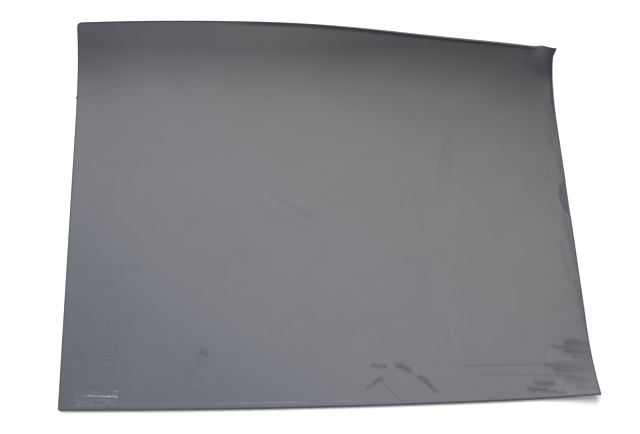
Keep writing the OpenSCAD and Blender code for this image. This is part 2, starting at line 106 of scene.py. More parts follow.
def curl(u):
    return (LEFT_CURL + (RIGHT_CURL - LEFT_CURL) * steepened(u)
            - CORNER_DROP * smooth((u - MAT_W + CORNER_DROP_W) / CORNER_DROP_W))


def band(u):
    return LEFT_BAND + (RIGHT_BAND - LEFT_BAND) * smooth((u - STEEPEN_TO) / (MAT_W - STEEPEN_TO))


def lip_at(u):
    return LIP + (RIGHT_LIP - LIP) * steepened(u)


def swell(u, v):
    """Low waves of the part that lies flat, never below it."""
    x, y = u / MAT_W, v / MAT_D
    wave = 0.5 + 0.25 * np.sin(9.1 * x + 3.0 * y) + 0.25 * np.sin(5.3 * y - 6.2 * x + 1.2)
    return SWELL * wave * smooth((MAT_D - LEFT_BAND - v) / 70)


def lie(u, v):
    """The underside over a point of the unrolled sheet: flat, then a bend whose slope gathers
    towards a straight lip, summed in short steps as the CAD sums it."""
    a = curl(u)
    bend = band(u) - lip_at(u)
    start = MAT_D - band(u)
    s = np.clip(v - start, 0, bend)
    out = np.maximum(0, v - start - bend)
    y = np.minimum(v, start) + out * np.cos(a)
    z = out * np.sin(a)
    for i in range(BEND_STEPS):
        slope = a * ((i + 0.5) / BEND_STEPS * s / bend)**CURL_POWER
        y += s * np.cos(slope) / BEND_STEPS
        z += s * np.sin(slope) / BEND_STEPS
    rise = np.maximum(0, 1 - (MAT_W - u + v) / CORNER_REACH)
    return np.stack([u - MAT_W / 2, y - MAT_D / 2, z + CORNER_LIFT * rise * rise + swell(u, v)],
                    axis=-1)


def rounded(u, v):
    """The two left corners drawn in to a round."""
    far = v > MAT_D / 2
    r = np.where(far, CORNER_R, NEAR_CORNER_R)
    a = (r - u) / r
    b = (r - np.where(far, MAT_D - v, v)) / r
    inside = (a > 0) & (b > 0)
    k = np.maximum(a, b) / np.maximum(np.hypot(a, b), 1e-9) * r
    w = r - b * k
    return np.where(inside, r - a * k, u), np.where(inside, np.where(far, MAT_D - w, w), v)


def bowed(u, v):
    """The edges are cut in slow curves, with the beak and the nick."""
    s, f = 4 * u * (MAT_W - u) / MAT_W**2, v / MAT_D
    beak = BEAK * smooth(1 - np.hypot(MAT_W - u, MAT_D - v) / BEAK_REACH)
    nick = NICK * smooth(1 - np.hypot(u, v - NICK_V) / NICK_W)
    return (u + RIGHT_BOW * 4 * f * (1 - f) * u / MAT_W + beak - nick,
            v + s * (FAR_BOW * f - NEAR_BOW * (1 - f)))


def at(u, v, n):
    """Points n above the underside, square to it, and their places on the flat sheet."""
    u, v = bowed(*rounded(u, v))
    along = lie(u + PROBE, v) - lie(u - PROBE, v)
    across = lie(u, v + PROBE) - lie(u, v - PROBE)
    c = np.cross(along, across)
    c /= np.linalg.norm(c, axis=-1, keepdims=True)
    place = np.stack([u - MAT_W / 2, v - MAT_D / 2, np.broadcast_to(n, u.shape)], axis=-1)
    return lie(u, v) + np.asarray(n)[..., None] * c, place


def edge_distance(u, v):
    return np.minimum(np.minimum(u, MAT_W - u), np.minimum(v, MAT_D - v))


# ---- Meshes ----
def lines(a, b, step, keep=(), ends=()):
    """Grid lines from a to b no further apart than step, through every line in keep, and
    with the steps in ends set in from both ends."""
    marks = {a, b, *(x for x in keep if a < x < b)}
    marks |= {a + e for e in ends} | {b - e for e in ends}
    marks = sorted(marks)
    found = [a]
    for lo, hi in zip(marks, marks[1:]):
        count = max(1, math.ceil((hi - lo) / step - 1e-6))
        found += [lo + (hi - lo) * (i + 1) / count for i in range(count)]
    return np.array(found)


def slab(us, vs, profile, hole=None):
    """A closed slab of the sheet over grid lines us and vs. profile is its cut edge from the
    lower face up, as (height, inset). hole is (u0, u1, v0, v1), left open."""
    nu, nv = len(us), len(vs)
    uu, vv = np.meshgrid(us, vs)

    def level(n, inset):
        u = np.clip(uu, us[0] + inset, us[-1] - inset)
        v = np.clip(vv, vs[0] + inset, vs[-1] - inset)
        p, place = at(u, v, np.full(u.shape, n))
        return p.reshape(-1, 3), place.reshape(-1, 3), edge_distance(u, v).reshape(-1)

    def loop(i0, i1, j0, j1):
        return np.array([j0 * nu + i for i in range(i0, i1)] + [j * nu + i1 for j in range(j0, j1)]
                        + [j1 * nu + i for i in range(i1, i0, -1)]
                        + [j * nu + i0 for j in range(j1, j0, -1)])

    levels = [level(n, inset) for n, inset in profile]
    ring = loop(0, nu - 1, 0, nv - 1)
    parts, indices, base = [], [], 0
    for k, found in enumerate(levels):
        whole = k in (0, len(levels) - 1)
        take = np.arange(nu * nv) if whole else ring
        index = np.full(nu * nv, -1)
        index[take] = base + np.arange(len(take))
        parts.append([x[take] for x in found])
        indices.append(index)
        base += len(take)
    i, j = np.meshgrid(np.arange(nu - 1), np.arange(nv - 1))
    if hole is not None:
        mid_u, mid_v = (us[i] + us[i + 1]) / 2, (vs[j] + vs[j + 1]) / 2
        solid = ~((mid_u > hole[0]) & (mid_u < hole[1]) & (mid_v > hole[2]) & (mid_v < hole[3]))
        i, j = i[solid], j[solid]
    a = (j * nu + i).reshape(-1)
    quads = np.stack([a, a + 1, a + 1 + nu, a + nu], axis=1)
    faces = [indices[-1][quads], indices[0][quads[:, ::-1]]]
    after = np.roll(ring, -1)
    for low, high in zip(indices, indices[1:]):
        faces.append(np.stack([low[ring], low[after], high[after], high[ring]], axis=1))
    if hole is not None:
        i0, i1 = np.searchsorted(us, [hole[0] - 0.01, hole[1] - 0.01])
        j0, j1 = np.searchsorted(vs, [hole[2] - 0.01, hole[3] - 0.01])
        inner = loop(i0, i1, j0, j1)[::-1]
        after = np.roll(inner, -1)
        low, high = indices[0], indices[-1]
        faces.append(np.stack([low[inner], low[after], high[after], high[inner]], axis=1))
    points, places, distances = (np.concatenate(x) for x in zip(*parts))
    return points, places, distances, np.concatenate(faces)


def mesh(name, slabs, sharp=35):
    """One object of one or more closed slabs, with the flat place and the distance to the
    mat's edge kept on every point for the materials."""
    points, places, distances, faces, base = [], [], [], [], 0
    for p, place, distance, f in slabs:
        points.append(p)
        places.append(place)
        distances.append(distance)
        faces.append(f + base)
        base += len(p)
    points, places, distances, faces = (
        np.concatenate(x) for x in (points, places, distances, faces))
    used, faces = np.unique(faces, return_inverse=True)
    faces = faces.reshape(-1, 4)
    data = bpy.data.meshes.new(name)
    data.from_pydata((points[used] * MM).tolist(), [], faces.tolist())
    flat = data.attributes.new("flat", "FLOAT_VECTOR", "POINT")
    flat.data.foreach_set("vector", places[used].astype(np.float32).ravel())
    edge = data.attributes.new("edge", "FLOAT", "POINT")
    edge.data.foreach_set("value", distances[used].astype(np.float32))
    data.update()
    data.shade_smooth()
    data.set_sharp_from_angle(angle=math.radians(sharp))
    obj = bpy.data.objects.new(name, data)
    bpy.context.scene.collection.objects.link(obj)
    return obj


def settle(obj, node, material):
    obj.data.materials.clear()
    obj.data.materials.append(material)
    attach(obj, "root")
    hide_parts(node)
    return obj


# ---- Material nodes ----
class Graph:
    """A Principled material and the short calls that build its nodes."""

    def __init__(self, name, **fixed):
        self.material = bpy.data.materials.new(name)
        self.material.use_nodes = True
        self.tree = self.material.node_tree
        self.tree.nodes.clear()
        self.out = self.tree.nodes.new("ShaderNodeOutputMaterial")
        self.bsdf = self.tree.nodes.new("ShaderNodeBsdfPrincipled")
        self.tree.links.new(self.bsdf.outputs[0], self.out.inputs[0])
        for key, value in fixed.items():
            self.bsdf.inputs[key.replace("_", " ")].default_value = value

    def node(self, kind, inputs=(), **settings):
        n = self.tree.nodes.new(kind)
        for key, value in settings.items():
            setattr(n, key, value)
        for key, value in dict(inputs).items():
            if isinstance(value, bpy.types.NodeSocket):
                self.tree.links.new(value, n.inputs[key])
            else:
                n.inputs[key].default_value = value
        return n

    def math(self, op, a, b=0.0, clamp=False):
        return self.node("ShaderNodeMath", {0: a, 1: b}, operation=op, use_clamp=clamp).outputs[0]

    def vector(self, op, a, b=(0, 0, 0)):
        n = self.node("ShaderNodeVectorMath", {0: a, 1: b}, operation=op)
        return n.outputs["Value" if op in ("DOT_PRODUCT", "LENGTH", "DISTANCE") else "Vector"]

    def scaled(self, a, factor):
        n = self.node("ShaderNodeVectorMath", {0: a, "Scale": factor}, operation="SCALE")
        return n.outputs["Vector"]

    def split(self, a):
        return self.node("ShaderNodeSeparateXYZ", {0: a}).outputs

    def noise(self, where, scale, detail=3.0, rough=0.55, distortion=0.0):
        return self.node("ShaderNodeTexNoise", {
            "Vector": where, "Scale": scale, "Detail": detail, "Roughness": rough,
            "Distortion": distortion}).outputs[0]

    def ramp(self, value, lo, hi, to_lo=0.0, to_hi=1.0, kind="SMOOTHSTEP"):
        return self.node("ShaderNodeMapRange", {
            "Value": value, "From Min": lo, "From Max": hi, "To Min": to_lo, "To Max": to_hi},
            interpolation_type=kind).outputs[0]

    def mix(self, share, a, b, blend="MIX"):
        n = self.node("ShaderNodeMix", {0: share, 6: a, 7: b}, data_type="RGBA", blend_type=blend)
        return n.outputs[2]

    def attribute(self, name):
        return self.node("ShaderNodeAttribute", attribute_name=name)

    def bump(self, height, distance, strength=1.0, below=None):
        inputs = {"Height": height, "Distance": distance, "Strength": strength}
        if below is not None:
            inputs["Normal"] = below
        return self.node("ShaderNodeBump", inputs).outputs[0]

    def set(self, **linked):
        for key, value in linked.items():
            self.tree.links.new(value, self.bsdf.inputs[key.replace("_", " ")])
        return self.material


def stroke_group():
    """Node group: 1 on a line from A to B on the flat sheet, fading to 0 at Width from it."""
    tree = bpy.data.node_groups.new("stroke", "ShaderNodeTree")
    face = tree.interface
    for label, kind in (("Place", "NodeSocketVector"), ("A", "NodeSocketVector"),
                        ("Run", "NodeSocketVector"), ("Over", "NodeSocketVector"),
                        ("Width", "NodeSocketFloat")):
        face.new_socket(label, in_out="INPUT", socket_type=kind)
    face.new_socket("Mask", in_out="OUTPUT", socket_type="NodeSocketFloat")
    start, end = tree.nodes.new("NodeGroupInput"), tree.nodes.new("NodeGroupOutput")

    def step(kind, op, *inputs):
        n = tree.nodes.new(kind)
        n.operation = op
        for k, socket in enumerate(inputs):
            tree.links.new(socket, n.inputs[k])
        return n

    away = step("ShaderNodeVectorMath", "SUBTRACT", start.outputs["Place"], start.outputs["A"])
    share = step("ShaderNodeVectorMath", "DOT_PRODUCT", away.outputs[0], start.outputs["Over"])
    held = tree.nodes.new("ShaderNodeClamp")
    tree.links.new(share.outputs["Value"], held.inputs["Value"])
    reach = tree.nodes.new("ShaderNodeVectorMath")
    reach.operation = "SCALE"
    tree.links.new(start.outputs["Run"], reach.inputs[0])
    tree.links.new(held.outputs[0], reach.inputs["Scale"])
    gap = step("ShaderNodeVectorMath", "DISTANCE", away.outputs[0], reach.outputs[0])
    fade = tree.nodes.new("ShaderNodeMapRange")
    fade.interpolation_type = "SMOOTHSTEP"
    tree.links.new(gap.outputs["Value"], fade.inputs["Value"])
    tree.links.new(start.outputs["Width"], fade.inputs["From Max"])
    fade.inputs["To Min"].default_value = 1.0
    fade.inputs["To Max"].default_value = 0.0
    tree.links.new(fade.outputs[0], end.inputs["Mask"])
    return tree


STROKE = stroke_group()


def strokes(g, place, marks):
    """The strongest of several strokes (x0, y0, x1, y1, width, strength), in mm on the sheet."""
    total = None
    for x0, y0, x1, y1, width, strength in marks:
        run = Vector((x1 - x0, y1 - y0, 0))
        over = run / max(run.length_squared, 1e-6)
        n = g.node("ShaderNodeGroup")
        n.node_tree = STROKE
        g.tree.links.new(place, n.inputs["Place"])
        n.inputs["A"].default_value = (x0, y0, 0)
        n.inputs["Run"].default_value = run
        n.inputs["Over"].default_value = over
        n.inputs["Width"].default_value = width
        mask = g.math("MULTIPLY", n.outputs[0], strength)
        total = mask if total is None else g.math("MAXIMUM", total, mask)
    return total


# Marks on the top, as strokes: where the dust is rubbed away, fingertip smudges, creases and
# pale scratches
RUBS = [
    (-94, 10, -41, -21, 4.5, 0.30), (-76, 19, -22, -14, 5.5, 0.34), (-98, -2, -72, -12, 4, 0.22),
    (-66, -6, -30, -30, 3.5, 0.30), (-50, 8, -18, -10, 3, 0.22), (-70, 26, -48, 16, 4, 0.16),
    (157, 100, 144, 78, 2.8, 0.62), (144, 78, 136, 55, 3.0, 0.5), (136, 55, 134, 24, 3.4, 0.34),
    (154, 84, 149, 40, 4.0, 0.34), (147, 72, 141, 30, 7.0, 0.24),
    (228, -152, 222, -158, 3.5, 0.35), (10, 34, 116, -32, 4, 0.10), (100, 40, 112, -34, 3, 0.12),
    (-246, -98, -247, -168, 2.6, 0.45), (-247, -130, -247, -172, 1.8, 0.5),
    (-296, 52, -290, 44, 3.0, 0.6), (-303, -150, -300, -160, 3.0, 0.8),
    (-292, -170, -282, -174, 4.0, 1.0), (-286, -164, -288, -176, 2.6, 0.7),
    (-300, -168, -294, -172, 4, 0.6),
    (-216, -207, -215, -220, 1.6, 0.65),
]
SMUDGES = [
    (-292, -169, -284, -172, 5.0, 1.0), (-287, -163, -288, -175, 3.2, 0.9),
    (-155, -170, -151, -172, 7, 0.75), (-155, -176, -160, -184, 4, 0.45), (-160, -184, -173, -197, 3, 0.42),
    (37, -187.5, 52, -189.5, 3.6, 0.9), (40, -190, 47, -190, 4.5, 0.5),
    (67, -188, 80, -193, 5.5, 0.95), (72, -192, 82, -196, 4.5, 0.7),
    (30, -212, 40, -208, 4.0, 0.6), (38, -207, 47, -203, 4.0, 0.75), (47, -206, 66, -226, 1.6, 0.55),
    (91, -202, 98, -207, 5.0, 0.85), (98, -206, 104, -213, 5.0, 1.0), (103, -214, 111, -219, 3.5, 0.7),
]
WORN = [
    (-303, -176, -299, -226, 13, 0.75),
    (278, -166, 302, -168, 9, 1.0), (276, -174, 304, -178, 10, 1.0), (284, -182, 305, -186, 7, 0.85),
    (258, -169, 280, -171, 4, 0.75), (262, -196, 304, -198, 13, 0.85), (274, -208, 305, -211, 13, 0.8),
    (248, -191, 270, -194, 6, 0.6), (282, -218, 305, -222, 9, 0.75), (232, -212, 250, -214, 5, 0.95),
    (222, -218.5, 244, -221, 5, 0.95), (246, -222, 264, -224, 4.5, 0.7),
    (292, 208, 300, 196, 10, 0.7), (296, 150, 300, 110, 8, 0.6), (291, 120, 294, 88, 5, 0.45),
    (300, 84, 302, 52, 5, 0.55), (283, 60, 286, 44, 4, 0.3), (296, 0, 303, -70, 5, 0.45),
    (288, -40, 292, -90, 5, 0.30), (300, -90, 304, -140, 5, 0.50), (280, 10, 284, -12, 4, 0.25),
]
CREASES = [
    (-304, 136, -283, 141, 1.1, 1.0), (-283, 141, -268, 148, 1.0, 0.9), (-268, 148, -249, 159, 1.0, 0.65),
    (-302, 143, -284, 143, 0.9, 0.4),
    (104, -190.5, 150, -190.2, 1.0, 0.45), (150, -190.2, 214, -190.4, 1.1, 1.0),
    (214, -190.4, 264, -191, 1.0, 0.75), (160, -200.5, 214, -202, 1.0, 0.5),
    (214, -202, 268, -205, 1.1, 0.9), (268, -188, 300, -190, 1.1, 0.6),
    (-286, -173, -250, -173.5, 1.0, 0.6), (-280, -177, -236, -177.5, 0.9, 0.45),
]
SCRATCHES = [
    (130, -82, 133, -122, 1.5, 0.16), (133, -122, 137, -166, 1.4, 0.26), (-162, -203, -161, -205, 0.9, 1.0),
    (-288, -223.5, -205, -224.5, 2.0, 0.30), (-205, -224.5, -150, -225, 1.6, 0.30),
    (-140, -225.5, -40, -226.5, 2.2, 0.42),
    (-20, -226.5, 20, -227, 2.0, 0.25),
    (256, -172, 250, -186, 5, 0.22), (290, 20, 300, -4, 4, 0.18), (286, 40, 296, 26, 5, 0.15),
]


# How much darker the sheet is painted towards the sides, the ends, two corners and the far edge
DARKEN_WIDE, DARKEN_DEEP, DARKEN_CORNER, DARKEN_FAR = 0.46, 0.33, 0.21, 0.14


def dent(g, x, y):
    """1 inside the pressed crescent at the right edge, where its shade is painted."""
    up = g.math("DIVIDE", g.math("SUBTRACT", y, DENT_Y), DENT_HALF)
    span = g.math("MAXIMUM", g.math("SUBTRACT", 1.0, g.math("MULTIPLY", up, up)), 0.0)
    inner = g.math("SUBTRACT", MAT_W / 2 + RIGHT_BOW, g.math("MULTIPLY", g.math("SQRT", span), DENT_DEEP))
    return g.ramp(g.math("SUBTRACT", x, inner), -0.3, 0.7)


def rubber_sheet(name, worn):
    """Matt dark rubber with the print of the cloth it was cured against, a dusty film, handling marks and
    painted light and shade.
    """
    g = Graph(name, Specular_IOR_Level=0.4)
    place = g.attribute("flat").outputs["Vector"]
    edge = g.attribute("edge").outputs["Fac"]
    x, y, n = g.split(place)
    flat = g.vector("MULTIPLY", place, (1, 1, 0))
    wander = g.noise(flat, 0.02, 2)
    sway = g.math("MULTIPLY", g.math("SUBTRACT", wander, 0.5), 6.0)

    # Cloth print: ribs along the depth, broken into rows of dots, over a fine weave
    def wave(coordinate, pitch):
        return g.math("SINE", g.math("MULTIPLY", coordinate, 2 * math.pi / pitch))

    across = g.math("ADD", x, sway)
    ribs = wave(across, 3.3)
    dots = g.math("MULTIPLY", g.math("ADD", wave(g.math("ADD", y, sway), 3.0), 1.0), 0.5)
    weave = g.math("MULTIPLY", wave(across, 1.1), wave(y, 1.1))
    print_mask = g.ramp(g.noise(flat, 0.008, 3), 0.35, 0.65, 0.45, 1.0)
    cloth = g.math("MULTIPLY", g.math("ADD", g.math("MULTIPLY", ribs, dots),
                                      g.math("MULTIPLY", weave, 0.35)), print_mask)
    grain = g.noise(flat, 1.9, 4, 0.7)

    # Tone: a pale, dusty film over bluish black rubber, mottled at random; the sheet is painted lightest in
    # the middle and darker towards the edges and the near left corner
    mottle = g.noise(flat, 0.011, 4, 0.6, 0.6)
    cloud = g.noise(flat, 0.045, 3, 0.6)
    wide = g.math("MULTIPLY", x, 2 / MAT_W)
    deep = g.math("MINIMUM", g.math("MULTIPLY", y, 2 / MAT_D), 0.45)
    dust_and_painted_shading = g.math("ADD", g.math("MULTIPLY", g.math("MULTIPLY", wide, wide), -DARKEN_WIDE),
                  g.math("MULTIPLY", g.math("MULTIPLY", deep, deep), -DARKEN_DEEP))
    dust_and_painted_shading = g.math("SUBTRACT", dust_and_painted_shading, g.math("MULTIPLY", g.math("MULTIPLY", wide, deep), DARKEN_CORNER))
    dust_and_painted_shading = g.math("SUBTRACT", dust_and_painted_shading, g.math("MULTIPLY", deep, DARKEN_FAR))
    dust_and_painted_shading = g.math("ADD", dust_and_painted_shading, g.math("MULTIPLY", g.math("SUBTRACT", mottle, 0.5), 0.30))
    dust_and_painted_shading = g.math("ADD", dust_and_painted_shading, g.math("MULTIPLY", g.math("SUBTRACT", cloud, 0.5), 0.16))
    dust_and_painted_shading = g.math("ADD", g.math("ADD", dust_and_painted_shading, 0.93), g.math("MULTIPLY", cloth, 0.12))
    darker_near_left = g.ramp(g.math("ADD", g.math("ADD", g.math("MULTIPLY", x, -0.62), g.math("MULTIPLY", y, -0.79)),
                         g.math("MULTIPLY", g.math("SUBTRACT", mottle, 0.5), 110.0)), 145, 250)
    dust_and_painted_shading = g.math("SUBTRACT", dust_and_painted_shading, g.math("MULTIPLY", darker_near_left, 0.18))

    def patch_of(cx, cy, rx, ry):
        away = g.vector("MULTIPLY", g.vector("SUBTRACT", flat, (cx, cy, 0)), (1 / rx, 1 / ry, 0))
        return g.ramp(g.vector("LENGTH", away), 0.25, 1.0, 1.0, 0.0)

    # Darker towards the left edge.
    dust_and_painted_shading = g.math("SUBTRACT", dust_and_painted_shading, g.math("MULTIPLY", g.ramp(x, -190, -300), 0.13))
    # Painted light: lighter over the middle of the far curl.
    dust_and_painted_shading = g.math("ADD", dust_and_painted_shading, g.math("MULTIPLY", patch_of(135, 182, 150, 62), 0.30))
    # Painted shade on the far left lip.
    dust_and_painted_shading = g.math("SUBTRACT", dust_and_painted_shading, g.math("MULTIPLY", patch_of(-295, 145, 75, 85), 0.16))
    # Lighter towards the right.
    dust_and_painted_shading = g.math("ADD", dust_and_painted_shading, g.math("MULTIPLY", g.ramp(x, 110, 240), 0.05))
    # Painted shade at the far right corner.
    dust_and_painted_shading = g.math("SUBTRACT", dust_and_painted_shading, g.math("MULTIPLY", patch_of(308, 222, 62, 50), 0.75), clamp=True)
    color = g.mix(dust_and_painted_shading, (0.058, 0.062, 0.071, 1), (0.139, 0.138, 0.139, 1))
    # Painted reflection tint: bluish towards the near left, warm towards the far right.
    painted_reflection_tint = g.ramp(g.math("ADD", g.math("ADD", g.math("MULTIPLY", x, -0.75), g.math("MULTIPLY", y, -1.0)),
                         g.math("MULTIPLY", g.math("SUBTRACT", cloud, 0.5), 60.0)), -330, 380, kind="LINEAR")
    color = g.mix(1.0, color, g.mix(painted_reflection_tint, (1.035, 0.995, 0.955, 1), (0.915, 0.975, 1.115, 1)), "MULTIPLY")
    rough = g.ramp(dust_and_painted_shading, 0.0, 1.0, 0.52, 0.68)

    height = g.math("MULTIPLY", cloth, 0.5)
    if worn:
        streaks = g.noise(g.vector("MULTIPLY", place, (1.0, 0.22, 0)), 0.35, 3, 0.6)
        brushed = g.noise(g.vector("MULTIPLY", place, (0.25, 1.6, 0)), 0.30, 4, 0.65)
        broken = g.noise(flat, 0.12, 4, 0.65)
        patchy = g.noise(flat, 0.34, 4, 0.7)

        def ragged(scale, reach):
            shift = g.node("ShaderNodeTexNoise", {"Vector": flat, "Scale": scale, "Detail": 3.0})
            moved = g.scaled(g.vector("SUBTRACT", shift.outputs["Color"], (0.5, 0.5, 0.5)), 2 * reach)
            return g.vector("MULTIPLY", g.vector("ADD", flat, moved), (1, 1, 0))

        rubs = g.math("MULTIPLY", strokes(g, ragged(0.11, 2.2), RUBS),
                      g.ramp(broken, 0.3, 0.6, 0.5, 1.0))
        tips = g.math("MULTIPLY", strokes(g, ragged(0.22, 2.6), SMUDGES),
                      g.ramp(patchy, 0.32, 0.60, 0.45, 1.0))
        worn_off = g.math("MULTIPLY", strokes(g, ragged(0.10, 3.8), WORN),
                          g.ramp(brushed, 0.32, 0.56, 0.50, 1.0))
        creases = g.math("MULTIPLY", strokes(g, ragged(0.03, 1.0), CREASES),
                         g.ramp(broken, 0.3, 0.6, 0.45, 1.0))
        pale = g.math("MULTIPLY", strokes(g, flat, SCRATCHES), g.ramp(streaks, 0.3, 0.6, 0.5, 1.0))
        specks = g.node("ShaderNodeTexVoronoi", {"Vector": flat, "Scale": 0.075}).outputs
        speck = g.math("MULTIPLY", g.ramp(specks["Distance"], 0.03, 0.06, 1.0, 0.0),
                       g.ramp(g.split(specks["Color"])[0], 0.80, 0.84))
        dark = g.math("MAXIMUM", g.math("MULTIPLY", tips, 0.92), g.math("MULTIPLY", worn_off, 0.85))
        dark = g.math("MAXIMUM", dark, g.math("MULTIPLY", rubs, 0.55))
        pressed = dent(g, x, y)
        color = g.mix(dark, color, (0.046, 0.048, 0.054, 1))
        # Painted shade in the creases: they are painted darker as well as pressed in by the bump below.
        color = g.mix(g.math("MULTIPLY", creases, 0.55), color, (0.038, 0.039, 0.045, 1))
        color = g.mix(g.math("MULTIPLY", pale, 0.40), color, (0.30, 0.30, 0.30, 1))
        color = g.mix(g.math("MULTIPLY", speck, 0.18), color, (0.36, 0.35, 0.33, 1))
        rough = g.math("SUBTRACT", rough, g.math("MULTIPLY", dark, 0.10))
        height = g.math("SUBTRACT", height, g.math("MULTIPLY", creases, 1.6))
        height = g.math("ADD", height, g.math("MULTIPLY", speck, 0.6))

    # Edges: handling wears the print away in a narrow, darker margin, and the cut face is plain rubber.
    # A dark line just inside every edge, a dark band along the steep far edge and the far right corner are
    # painted shade.
    margin = g.ramp(g.math("ADD", edge, g.math("MULTIPLY", cloud, 5.0)), 2.0, 9.0, 1.0, 0.0)
    color = g.mix(g.math("MULTIPLY", margin, 0.22), color, (0.070, 0.074, 0.084, 1))
    handled = g.ramp(g.math("ADD", x, g.math("MULTIPLY", g.math("SUBTRACT", cloud, 0.5), 24.0)), 292, 306)
    color = g.mix(g.math("MULTIPLY", handled, 0.32), color, (0.060, 0.063, 0.070, 1))
    # Painted shade: a dark line just inside every edge, and a darker band within 7 mm of the far edge where
    # the curl is steep.
    line = g.ramp(edge, 1.2, 2.2, 1.0, 0.0)
    steep = g.ramp(x, STEEPEN_FROM - MAT_W / 2 - 20, STEEPEN_FROM - MAT_W / 2 + 60)
    curl_edge_shade = g.math("MULTIPLY", g.ramp(edge, 2.0, 7.0, 1.0, 0.0), g.ramp(y, MAT_D / 4, MAT_D / 3))
    line = g.math("MAXIMUM", line, g.math("MULTIPLY", curl_edge_shade, steep))
    # Painted shade: the far right corner darkened further.
    color = g.mix(g.math("MULTIPLY", patch_of(304, 224, 64, 48), 0.90), color, (0.026, 0.029, 0.038, 1))
    color = g.mix(g.math("MULTIPLY", line, 0.85), color, (0.016, 0.019, 0.030, 1))
    cut = g.ramp(n, MAT_T - 0.12, MAT_T - 0.06, 1.0, 0.0)
    color = g.mix(g.math("MULTIPLY", cut, 0.95), color, (0.080, 0.081, 0.085, 1))
    color = g.mix(g.math("MULTIPLY", grain, 0.22), color, (0.085, 0.087, 0.094, 1))
    if worn:
        # Painted shade in the pressed crescent at the right edge.
        color = g.mix(g.math("MULTIPLY", pressed, 0.92), color, (0.056, 0.060, 0.070, 1))
    normal = g.bump(grain, 0.05 * MM, 0.5)
    normal = g.bump(height, 0.09 * MM, 1.0, normal)
    return g.set(Base_Color=color, Roughness=rough, Normal=normal)


def plain(name, color, other, rough, scale=0.4, bump=0.02, detail=3.0, metal=0.0, spec=0.5,
          flat=True, stretch=(1, 1, 1)):
    """A finish with fine variation in colour, roughness and height. scale is per mm."""
    g = Graph(name, Metallic=metal, Specular_IOR_Level=spec)
    if flat:
        where = g.attribute("flat").outputs["Vector"]
    else:
        where = g.scaled(g.node("ShaderNodeTexCoord").outputs["Object"], 1 / MM)
    where = g.vector("MULTIPLY", where, stretch)
    fine = g.noise(where, scale, detail, 0.65)
    broad = g.noise(where, scale * 0.12, 2)
    color = g.mix(g.math("MULTIPLY", g.math("ADD", fine, broad), 0.5), (*color, 1), (*other, 1))
    return g.set(
        Base_Color=color, Roughness=g.ramp(fine, 0.3, 0.7, rough - 0.06, rough + 0.06),
        Normal=g.bump(fine, bump * MM))


finish = {
    "cover_sheet": rubber_sheet("rubber_top", True),
    "underside": rubber_sheet("rubber_underside", False),
    "seal_ply": plain("sealing_ply", (0.098, 0.094, 0.087), (0.078, 0.076, 0.072), 0.7, 1.4, 0.05),
    "foil": plain("aluminium_foil", (0.75, 0.76, 0.77), (0.62, 0.63, 0.65), 0.32, 0.5, 0.03, metal=1.0),
    "carbon_print": plain("carbon_ink", (0.03, 0.03, 0.033), (0.05, 0.05, 0.055), 0.6, 2.0, 0.02),
    "copper": plain("copper_strip", (0.85, 0.45, 0.30), (0.70, 0.36, 0.23), 0.28, 0.8, 0.01,
                    metal=1.0, stretch=(4, 0.4, 1)),
    "felt": plain("needled_felt", (0.62, 0.61, 0.58), (0.48, 0.47, 0.45), 0.95, 1.2, 0.25, 5.0),
    "film": plain("clear_polyester_film", (0.55, 0.57, 0.60), (0.50, 0.52, 0.55), 0.22, 0.2, 0.01),
    "brass": plain("brass", (0.78, 0.62, 0.33), (0.60, 0.45, 0.22), 0.3, 0.9, 0.01, metal=1.0, flat=False),
    "box_plastic": plain("moulded_black_plastic", (0.028, 0.028, 0.031), (0.040, 0.040, 0.044), 0.5,
                         2.6, 0.035, 4.0, flat=False),
    "gasket_rubber": plain("soft_rubber", (0.022, 0.022, 0.024), (0.034, 0.034, 0.036), 0.72, 1.6,
                           0.02, flat=False),
    "screw_steel": plain("plated_steel", (0.62, 0.63, 0.65), (0.48, 0.49, 0.51), 0.28, 3.0, 0.006,
                         metal=1.0, flat=False),
    "ceramic": plain("steatite", (0.66, 0.63, 0.56), (0.56, 0.53, 0.47), 0.55, 0.9, 0.02, flat=False),
    "sleeve": plain("varnished_sleeve", (0.66, 0.61, 0.49), (0.52, 0.47, 0.36), 0.5, 2.4, 0.05,
                    flat=False, stretch=(1, 3, 3)),
    "live_wire": plain("brown_insulation", (0.16, 0.065, 0.028), (0.12, 0.048, 0.02), 0.42, 1.2, 0.01,
                       flat=False),
    "neutral_wire": plain("blue_insulation", (0.03, 0.09, 0.30), (0.022, 0.07, 0.24), 0.42, 1.2, 0.01,
                          flat=False),
    "label": plain("blank_silver_label", (0.62, 0.63, 0.64), (0.54, 0.55, 0.56), 0.42, 1.0, 0.008,
                   flat=False),
}


# ---- The sheet's layers ----
COVER_STEP, LAYER_STEP = 3.0, 7.0
RIM = (0.6, 1.3, NEAR_CORNER_R, 3.3, CORNER_R)
core_u = [BORDER, BUS_LEFT, BUS_LEFT + BUS_W, BUS_RIGHT, BUS_RIGHT + BUS_W, MAT_W - BORDER]
right_u = [MAT_W - 0.75 * k for k in range(1, 18)]
nick_v = [NICK_V + NICK_W * k / 4 for k in range(-4, 5)]
cover_u = lines(0, MAT_W, COVER_STEP, keep=right_u, ends=RIM)
cover_v = lines(0, MAT_D, COVER_STEP, keep=nick_v, ends=RIM)


def pressed_cover():
    """The top cover, with the crescent at the right edge pressed in."""
    points, places, distances, faces = slab(cover_u, cover_v, [
        (Z_TOP, 0.0), (MAT_T - 0.30, 0.0), (MAT_T - 0.09, 0.07), (MAT_T, 0.28)])
    span = np.sqrt(np.clip(1 - ((places[:, 1] - DENT_Y) / DENT_HALF)**2, 0, 1))
    inside = smooth((places[:, 0] - MAT_W / 2 - RIGHT_BOW + span * DENT_DEEP + 0.3) / 1.4)
    points[:, 2] -= DENT_DROP * inside * (places[:, 2] > Z_TOP + 0.4) * (span > 0)
    return points, places, distances, faces


